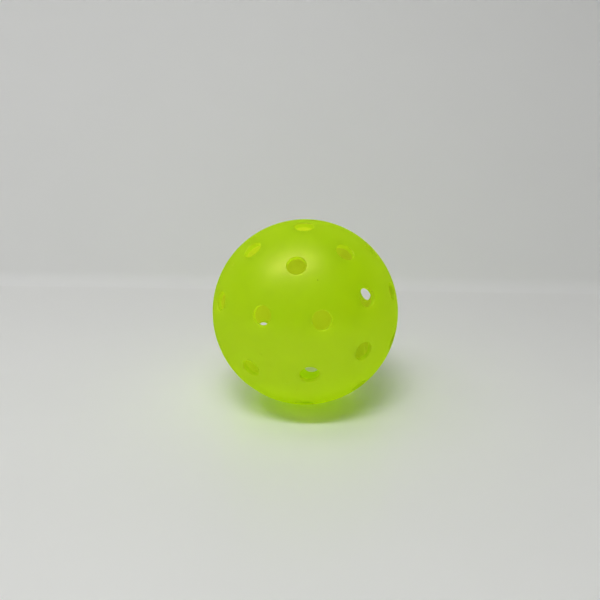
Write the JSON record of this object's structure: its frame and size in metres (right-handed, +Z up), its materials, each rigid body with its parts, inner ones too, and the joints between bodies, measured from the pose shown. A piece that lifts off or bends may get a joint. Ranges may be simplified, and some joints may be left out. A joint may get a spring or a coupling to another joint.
{
  "type": "pickleball ball",
  "caption": "Hollow perforated plastic ball for outdoor pickleball, two identical moulded half shells welded rim to rim, with rounded air holes all over.",
  "frame": {"origin": "centre of the ball", "axes": "+Z up, with the ball lying at rest and touching its surface at rest_point on -Z; +X to the right and +Y away from the viewer; the pole of upper_half_shell points along (0.687, -0.409, 0.600)"},
  "size_m": [0.074, 0.074, 0.074],
  "materials": {
    "lime_plastic": "satin, slightly translucent moulded polyethylene",
    "weld_plastic": "the same plastic, fused and trimmed flush"
  },
  "bodies": {
    "root": {"upper_half_shell": "lime_plastic", "lower_half_shell": "lime_plastic", "weld_bead": "weld_plastic"}
  },
  "joints": []
}
